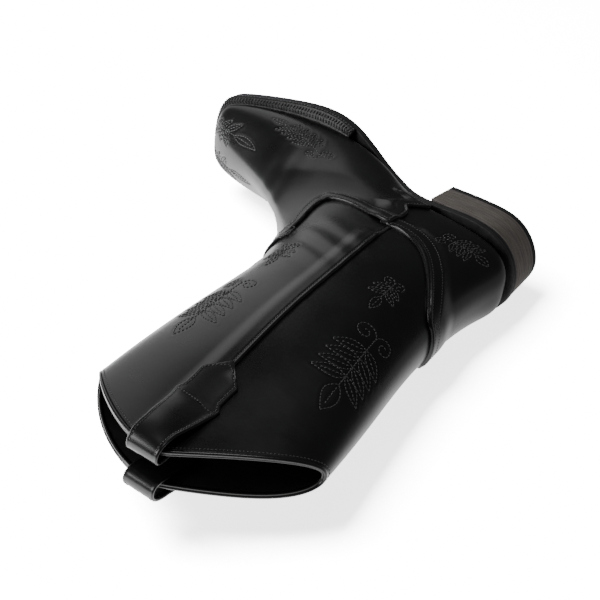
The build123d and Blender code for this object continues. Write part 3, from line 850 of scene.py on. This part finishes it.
def vamp():
    across = 2 * shares(235, PITCH) - 1
    down = shares(300, PITCH, fine_end=False)
    top = vamp_top(across * SIDE_SEAM_ANGLE)
    number = top + (TOE_END - top) * down[:, None]
    angle = across * foot_angle(number)
    wide = np.linspace(-SIDE_SEAM_ANGLE, SIDE_SEAM_ANGLE, 900)
    top_edge = edge_line(vamp_top(wide), wide)
    down_seam = np.linspace(VAMP_TOP[-1][1], SEAM_END + 0.3, 400)
    side_edges = [edge_line(down_seam, s * foot_angle(down_seam)) for s in (1, -1)]
    motifs = inside(vamp_motifs(), lambda a: vamp_top(a) + 1.0, lambda a: 0 * a + 13.3, 0, 118)
    motifs = mirrored(motifs)
    edges = [top_edge, *side_edges]
    leather_piece("vamp_leather", "vamp", number, angle, vamp_face, edges, motifs, OVERLAY_BEAD, STITCH_ROWS)
    lines = [beside(*top_edge, distance, 6) for distance in STITCH_ROWS]
    lines += [beside(*side_edges[0], SIDE_ROW), beside(*side_edges[1], -SIDE_ROW)]
    rows = [surface_line(*line, vamp_face, OVERLAY_SINK) for line in lines]
    stitches("vamp_stitches", rows, OVERLAY_STITCH, THREAD_LOOK)
    embroidery("vamp_embroidery", motifs, vamp_face)


def counter_cover():
    across = 2 * shares(210, PITCH) - 1
    down = shares(130, PITCH, fine_end=False)
    top = counter_top(180 + across * (180 - SIDE_SEAM_ANGLE))
    bottom = heel_seat_edge(np.abs(across))
    number = top + (bottom - top) * down[:, None]
    angle = 180 + across * (180 - foot_angle(number) + 5.0)
    wide = np.linspace(SIDE_SEAM_ANGLE, 360 - SIDE_SEAM_ANGLE, 900)
    top_edge = edge_line(counter_top(wide), wide)
    motifs = inside(counter_motifs(), lambda a: counter_top(a) + 0.5, lambda a: 0 * a + 7.3, 95, 178)
    motifs = mirrored(motifs, 360)
    piece = ("counter_leather", "counter_cover", number, angle, counter_face)
    leather_piece(*piece, [top_edge], motifs, OVERLAY_BEAD, STITCH_ROWS)
    lines = [beside(*top_edge, distance, 6) for distance in STITCH_ROWS]
    rows = [surface_line(*line, counter_face, OVERLAY_SINK) for line in lines]
    stitches("counter_stitches", rows, OVERLAY_STITCH, THREAD_LOOK)
    embroidery("counter_embroidery", motifs, counter_face)


def shaft_lining(name, centre, half_angle):
    across = 2 * shares(180, LINING_PITCH) - 1
    down = shares(280, LINING_PITCH)
    wide = centre + across * half_angle
    top = rim_section(wide, BEADING_HEIGHT)
    bottom = np.where(half_turn(wide) < SIDE_SEAM_ANGLE, vamp_top(wide), counter_top(wide))
    number = top + (bottom - top) * down[:, None]
    angle = wide + 0 * number
    inner = layer_point(number, angle, -LINING_DEPTH - LINING + 0 * number)
    outer = layer_point(number, angle, -LINING_DEPTH + 0 * number)
    count, size = number.shape
    points = np.vstack([inner.reshape(-1, 3), outer.reshape(-1, 3)])
    faces = grid_faces(count, size, flip=True) + grid_faces(count, size, start=count * size)
    piece = add_mesh(f"{name}_skin", points, faces, LINING_LOOK)
    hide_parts(name)


def top_beading(name, centre, half_angle):
    """Double edge along the rim: the leather's rounded edge outside, the lining's inside."""
    depth = LINING_DEPTH + LINING
    profile = [
        (0.3, 2.7), (0.35, 1.2), (0.15, 0.2), (-0.5, -0.25), (-1.2, -0.15), (-1.6, 0.35), (-1.9, 0.35),
        (-2.2, 0.0), (-2.7, -0.1), (-depth - 0.15, 0.3), (-depth - 0.3, 1.2), (-depth - 0.3, 2.7),
    ]
    angle = centre + np.linspace(-half_angle, half_angle, 220)
    rings = [layer_point(rim_section(angle, low), angle, out + 0 * angle) for out, low in profile]
    rings = np.stack(rings, 1)
    piece = ring_mesh(f"{name}_edge", rings[:, ::-1], EDGE_LOOK)
    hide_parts(name)


# ---- pull straps ----
def seam_bump(angle):
    from_edge = half_turn(angle) - SIDE_ANGLE
    start = from_edge + SEAM_LAP_ANGLE + LAP_RISE_ANGLE + 2
    return STEP * ease(start / LAP_RISE_ANGLE) * (1 - ease((from_edge - 1) / 5))


def strap_half_width(position):
    return np.interp(position, *np.array(STRAP_HALF_WIDTH).T)


def strap_point(centre, position, across, thickness):
    """Point of a strap: along its path, across it from -1 to 1, out of its middle layer."""
    position, across, thickness = np.broadcast_arrays(position, across, thickness)
    flat = position.ravel()
    path = natural_spline(STRAP_PATH, flat)
    tangent = natural_spline(STRAP_PATH, flat + 0.02) - natural_spline(STRAP_PATH, flat - 0.02)
    tangent = unit(tangent)
    path = path + np.stack([tangent[:, 1], -tangent[:, 0]], -1) * thickness.ravel()[:, None]
    half = strap_half_width(flat)
    angle = centre + across.ravel() * half * DEGREES_PER_MM * (1 if centre > 0 else -1)
    number = section_at_height(RIM_SIDE_HEIGHT + path[:, 1], angle)
    outside = path[:, 0] + seam_bump(angle) * (1 - ease((flat - 6) / 3))
    return layer_point(number, angle, outside).reshape(position.shape + (3,))


def pull_strap(name, centre):
    last = len(STRAP_PATH) - 1
    tip = np.linspace(0, 1.25, 24)[:-1]
    flat = np.linspace(1.25, 5, 70)[:-1]
    position = np.concatenate([tip, flat, np.linspace(5, last, 100)])
    turn = np.linspace(0, 2 * np.pi, 36, endpoint=False)
    across = np.sign(np.cos(turn)) * np.abs(np.cos(turn)) ** 0.3
    thick = np.sign(np.sin(turn)) * np.abs(np.sin(turn)) ** 0.6 * STRAP_THICKNESS / 2
    edge_bead = 0.35 * np.exp(-(((np.abs(across) - 0.93) / 0.06) ** 2)) * np.sign(thick)
    rings = strap_point(centre, position[:, None], across[None, :], (thick + edge_bead)[None, :])
    piece = ring_mesh(f"{name}_leather", rings if centre < 0 else rings[:, ::-1], LEATHER_LOOK)
    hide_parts(name)
    lines = []
    along = np.linspace(1.0, 9.0, 400)
    for side in (-1, 1):
        share = side * (1 - 2.4 / strap_half_width(along))
        lines.append(strap_line(centre, along, share))
    wide = np.linspace(-0.86, 0.86, 80)
    lines.append(strap_line(centre, 4.35 + 0.25 * wide, wide))
    lines.append(strap_line(centre, 0.42 + 0.75 * np.abs(wide), wide))
    stitches(f"{name}_stitches", lines, STRAP_STITCH, THREAD_LOOK)


def strap_line(centre, position, across):
    surface = strap_point(centre, position, across, STRAP_THICKNESS / 2 - 0.05)
    above = strap_point(centre, position, across, STRAP_THICKNESS / 2 + 0.5)
    return surface, unit(above - surface)


# ---- sole, welt and heel ----
def outline_points(count):
    return smooth_line(SOLE_OUTLINE, count, closed=True)


def inset_line(line, distance):
    """Closed flat line moved inwards. It runs along the outer side first, towards the toe."""
    along = np.roll(line, -1, 0) - np.roll(line, 1, 0)
    along = along / np.linalg.norm(along, axis=1, keepdims=True)
    return line + np.stack([along[:, 1], -along[:, 0]], -1) * np.reshape(distance, (-1, 1))


def outsole():
    line = outline_points(420)
    bevel = 0.9
    top = OUTSOLE_THICKNESS
    profile = [
        (3.0, 0.0), (bevel, 0.0), (0.25, 0.25), (0.0, bevel), (0.0, 2.7), (0.18, 3.0), (0.0, 3.3),
        (0.0, top - 0.5), (0.2, top - 0.1), (0.6, top), (3.0, top),
    ]
    rings = [with_height(inset_line(line, inset), up) for inset, up in profile]
    low_middle = [to_middle(rings[0], share) for share in (0.97, 0.75, 0.5, 0.25)]
    high_middle = [to_middle(rings[-1], share) for share in (0.25, 0.5, 0.75, 0.97)]
    rings = np.stack([*low_middle, *rings, *high_middle])
    piece = ring_mesh("outsole_body", rings, SOLE_LOOK)
    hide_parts("outsole")


def with_height(line, up):
    return np.stack([line[:, 1], line[:, 0], tread_height(line[:, 0]) + up], -1)


def to_middle(ring, share):
    """The ring drawn sideways to the sole's middle line."""
    moved = ring.copy()
    moved[:, 0] *= 1 - share
    return moved


def feather_line(height):
    """Line around the forefoot where the upper meets a height above its bottom."""
    numbers = np.concatenate([np.linspace(9.2, 12, 60), np.linspace(12.05, 14.2, 90)])
    low = np.zeros(len(numbers))
    high = np.full(len(numbers), 180.0)
    for _ in range(30):
        angle = (low + high) / 2
        point = smooth_point(numbers, angle)
        above = point[:, 2] > seat_height(point[:, 1]) + height
        low = np.where(above, angle, low)
        high = np.where(above, high, angle)
    lateral = smooth_point(numbers, low)
    medial = smooth_point(numbers, -low)[::-1]
    return np.vstack([lateral, medial])[:, [1, 0]]


def welt():
    """Storm welt: a flat ledge with a raised lip against the upper, and braided stitching."""
    line = outline_points(700)
    inner = feather_line(WELT_LIP)
    base = OUTSOLE_THICKNESS
    keep = line[:, 0] > WELT_START
    start = np.argmax(keep & ~np.roll(keep, 1))
    line = np.roll(line, -start, 0)[: keep.sum()]
    gap = np.sqrt(((line[:, None] - inner[None]) ** 2).sum(-1))
    near = inner[gap.argmin(1)]
    near = (np.roll(near, 1, 0) + near + np.roll(near, -1, 0)) / 3
    near[0], near[-1] = near[1], near[-2]
    profile = [
        (0.0, 0.05), (-0.02, 1.2), (0.0, 2.4), (0.05, 3.0), (0.16, 3.4), (0.5, 4.7), (0.84, 6.3),
        (0.95, 7.2), (1.06, 7.1), (1.12, 4.5), (1.1, 0.05),
    ]
    rings = []
    for share, up in profile:
        at = line + (near - line) * share
        rings.append(np.stack([at[:, 1], at[:, 0], tread_height(line[:, 0]) + base + up], -1))
    rings = np.stack(rings, 1)
    piece = ring_mesh("welt_strip", rings, WELT_LOOK)
    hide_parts("welt")
    braid(line, near, base)


def braid(line, near, base):
    """Slanted pairs of thick stitches along the welt's outer face and top."""
    lengths = np.concatenate([[0], np.cumsum(np.linalg.norm(np.diff(line, axis=0), axis=1))])
    marks = np.arange(2.0, lengths[-1] - 2.0, 2.6)
    lines = []
    slant = 0.9
    for mark in marks:
        for first, second in ((0.14, 0.5), (0.88, 0.52)):
            ends = []
            for share, shift in ((first, -slant), (second, slant)):
                at = np.array([np.interp(mark + shift, lengths, c) for c in line.T])
                to = np.array([np.interp(mark + shift, lengths, c) for c in near.T])
                spot = at + (to - at) * share
                up = tread_height(at[0]) + base + 3.1 + 3.4 * share
                ends.append(np.array([spot[1], spot[0], up]))
            points = np.linspace(ends[0], ends[1], 3)
            lines.append((points, np.tile([0.0, 0.0, 1.0], (3, 1))))
    stitches("welt_braid", lines, BRAID_STITCH, BRAID_LOOK)
    side = np.stack([line[:, 1], line[:, 0], tread_height(line[:, 0]) + base + 1.9], -1)
    along = unit(np.gradient(side, axis=0))
    out = np.cross(along, [0, 0, 1.0])
    out = np.where((out[:, :1] * side[:, :1]) < 0, -out, out)
    stitches("welt_side_stitches", [(side + out * 0.05, out)], WELT_STITCH, THREAD_LOOK)


def heel_ring(height, inset):
    share = height / HEEL_HEIGHT
    points = np.array(HEEL_BOTTOM) + (np.array(HEEL_TOP) - np.array(HEEL_BOTTOM)) * share
    around = smooth_line(points, 150)
    breast = np.linspace(around[-1], around[0], 30)[1:-1]
    line = np.vstack([around, breast])
    centre = np.array([45.0, 0.0])
    line = centre + (line - centre) * (1 - inset / 34)
    return np.stack([line[:, 1], line[:, 0], np.full(len(line), float(height))], -1)


def heel_block(name, bottom, top, bevel, material, node):
    levels = [(bottom, bevel), (bottom + bevel, 0.0), (top - bevel, 0.0), (top, bevel)]
    rings = np.stack([heel_ring(height, inset) for height, inset in levels])
    rings[..., 2] = np.minimum(rings[..., 2], tread_height(rings[..., 1]))
    piece = ring_mesh(name, rings, material)
    for polygon in piece.data.polygons:
        polygon.use_smooth = len(polygon.vertices) == 4
    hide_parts(node)


def heel():
    heel_block("heel_top_lift_rubber", 0, TOP_LIFT_HEIGHT, 0.4, LIFT_LOOK, "heel_top_lift")
    thickness = (HEEL_HEIGHT - TOP_LIFT_HEIGHT) / LIFT_COUNT
    for k in range(LIFT_COUNT):
        low = TOP_LIFT_HEIGHT + k * thickness
        node = f"heel_lift_{k + 1}"
        heel_block(f"{node}_layer", low, low + thickness, 0.06, STACK_LOOKS[k], node)


def dress_inner_nodes():
    looks = {
        "vamp_lining": LINING_LOOK, "heel_lining": LINING_LOOK, "sock_liner": LINING_LOOK,
        "toe_puff": STIFF_LOOK, "heel_counter": STIFF_LOOK, "insole": BOARD_LOOK,
        "bottom_filler": CORK_LOOK, "shank": STEEL_LOOK, "heel_nails": STEEL_LOOK,
    }
    for node, look in looks.items():
        mesh = frame["nodes"][node].data
        mesh.materials.clear()
        mesh.materials.append(look)


# ---- surroundings ----
TABLE_GLOW = 3.0
# Painted glow of the table, seen only in reflections and bounced light: its strength at the centre and far
# off, the centre given from the boot in camera directions, and the radii over which it fades.
PAINTED_REFLECTION_GLOW = 3.2
FAR_PAINTED_GLOW = 0.25
PAINTED_GLOW_CENTRE = (-0.55, -0.05, 0.0)
PAINTED_GLOW_RADII = (0.35, 0.85)
BACKDROP = 20.0
ROOM_GLOW = 0.06
BOOT_MIDDLE = Vector((0.0, 0.0, 0.17))
TABLE_HALF = 4.0
TABLE_GAP = 0.0005


def add_area(name, place, size, power):
    data = bpy.data.lights.new(name, "AREA")
    data.shape = "RECTANGLE"
    data.size, data.size_y = size
    data.energy = power
    light = bpy.data.objects.new(name, data)
    bpy.context.collection.objects.link(light)
    light.location = place
    light.rotation_euler = (BOOT_MIDDLE - Vector(place)).to_track_quat("-Z", "Y").to_euler()
    return light


def light_only(light, thing):
    """The light falls on one thing alone, though everything shades it."""
    group = bpy.data.collections.new(f"{light.name}_receivers")
    group.objects.link(thing)
    light.light_linking.receiver_collection = group


def picture_place(right, up, near):
    """Place given from the boot's middle in the camera's directions."""
    return BOOT_MIDDLE + camera_turn() @ Vector((right, up, near))


def add_floor():
    """White table under the boot's inner side, seen only from its upper face."""
    normal = LYING_DIRECTION.normalized()
    lowest = min(Vector(corner).dot(normal) for corner in shown_points())
    mesh = bpy.data.meshes.new("table")
    h = TABLE_HALF
    mesh.from_pydata([(-h, -h, 0), (h, -h, 0), (h, h, 0), (-h, h, 0)], [], [(0, 1, 2, 3)])
    floor = bpy.data.objects.new("table", mesh)
    bpy.context.collection.objects.link(floor)
    turn = normal.to_track_quat("Z", "Y").to_matrix().to_4x4()
    floor.matrix_world = Matrix.Translation(normal * (lowest - TABLE_GAP)) @ turn
    # The table's painted glow is centred at a place beside the boot, given in camera directions.
    mesh.materials.append(table_look(floor.matrix_world.inverted() @ picture_place(*PAINTED_GLOW_CENTRE)))
    return floor


def table_look(centre):
    """White from above to the eye; to reflected and bounced rays it is a painted glow, brightest around its
    centre and fading outwards, that puts painted reflections on the boot.
    """
    material, tree, shader = new_material("table_white_with_painted_glow")
    shader.inputs["Base Color"].default_value = (0.9, 0.9, 0.9, 1)
    shader.inputs["Roughness"].default_value = 0.9
    shader.inputs["Specular IOR Level"].default_value = 0.0
    shader.inputs["Emission Color"].default_value = (1, 1, 1, 1)
    shader.inputs["Emission Strength"].default_value = TABLE_GLOW
    coordinates = tree.nodes.new("ShaderNodeTexCoord")
    distance = tree.nodes.new("ShaderNodeVectorMath")
    distance.operation = "DISTANCE"
    distance.inputs[1].default_value = (centre.x, centre.y, 0)
    tree.links.new(coordinates.outputs["Object"], distance.inputs[0])
    fade = tree.nodes.new("ShaderNodeMapRange")
    fade.interpolation_type = "SMOOTHSTEP"
    fade.inputs["From Min"].default_value = PAINTED_GLOW_RADII[0]
    fade.inputs["From Max"].default_value = PAINTED_GLOW_RADII[1]
    fade.inputs["To Min"].default_value = PAINTED_REFLECTION_GLOW
    fade.inputs["To Max"].default_value = FAR_PAINTED_GLOW
    tree.links.new(distance.outputs["Value"], fade.inputs["Value"])
    # Painted glow: camera rays see the plain white table, all other rays see this emission, brightest round
    # the centre, which puts painted reflections on the leather.
    glow = tree.nodes.new("ShaderNodeEmission")
    tree.links.new(fade.outputs["Result"], glow.inputs["Strength"])
    path = tree.nodes.new("ShaderNodeLightPath")
    seen = tree.nodes.new("ShaderNodeMixShader")
    tree.links.new(path.outputs["Is Camera Ray"], seen.inputs["Fac"])
    tree.links.new(glow.outputs["Emission"], seen.inputs[1])
    tree.links.new(shader.outputs["BSDF"], seen.inputs[2])
    clear = tree.nodes.new("ShaderNodeBsdfTransparent")
    geometry = tree.nodes.new("ShaderNodeNewGeometry")
    mix = tree.nodes.new("ShaderNodeMixShader")
    tree.links.new(geometry.outputs["Backfacing"], mix.inputs["Fac"])
    tree.links.new(seen.outputs["Shader"], mix.inputs[1])
    tree.links.new(clear.outputs["BSDF"], mix.inputs[2])
    tree.links.new(mix.outputs["Shader"], tree.nodes["Material Output"].inputs["Surface"])
    return material


def shown_points():
    """Some vertices of every visible piece."""
    for piece in bpy.data.objects:
        if piece.type == "MESH" and not piece.hide_render:
            step = max(len(piece.data.vertices) // 4000, 1)
            for vertex in list(piece.data.vertices)[::step]:
                yield piece.matrix_world @ vertex.co


def add_world():
    world = bpy.data.worlds.new("studio")
    bpy.context.scene.world = world
    world.use_nodes = True
    tree = world.node_tree
    background = tree.nodes["Background"]
    white = tree.nodes.new("ShaderNodeBackground")
    white.inputs["Color"].default_value = (1, 1, 1, 1)
    white.inputs["Strength"].default_value = BACKDROP
    background.inputs["Color"].default_value = (1, 1, 1, 1)
    background.inputs["Strength"].default_value = ROOM_GLOW
    path = tree.nodes.new("ShaderNodeLightPath")
    mix = tree.nodes.new("ShaderNodeMixShader")
    tree.links.new(path.outputs["Is Camera Ray"], mix.inputs["Fac"])
    tree.links.new(background.outputs["Background"], mix.inputs[1])
    tree.links.new(white.outputs["Background"], mix.inputs[2])
    tree.links.new(mix.outputs["Shader"], tree.nodes["World Output"].inputs["Surface"])


shaft_front()
shaft_back()
vamp()
counter_cover()
shaft_lining("shaft_lining_front", 0, SIDE_ANGLE - BUTT_GAP_ANGLE)
shaft_lining("shaft_lining_back", 180, 180 - SIDE_ANGLE)
top_beading("top_beading_front", 0, SIDE_ANGLE - BUTT_GAP_ANGLE)
top_beading("top_beading_back", 180, 180 - SIDE_ANGLE)
pull_strap("pull_strap_lateral", STRAP_ANGLE)
pull_strap("pull_strap_medial", -STRAP_ANGLE)
outsole()
welt()
heel()
dress_inner_nodes()
table = add_floor()
add_world()
add_area("panel_behind", picture_place(-0.45, 1.15, -0.75), (1.5, 0.9), 3.2)
add_area("soft_left", picture_place(-1.3, 0.5, 0.6), (0.8, 0.8), 11)
add_area("soft_top", picture_place(0.3, 1.5, 0.9), (0.5, 0.5), 4)
add_area("mouth_fill", picture_place(-0.5, -1.0, 0.8), (0.7, 0.7), 4)
light_only(add_area("table_light", picture_place(-0.9, 1.6, 1.2), (1.3, 1.3), 1100), table)
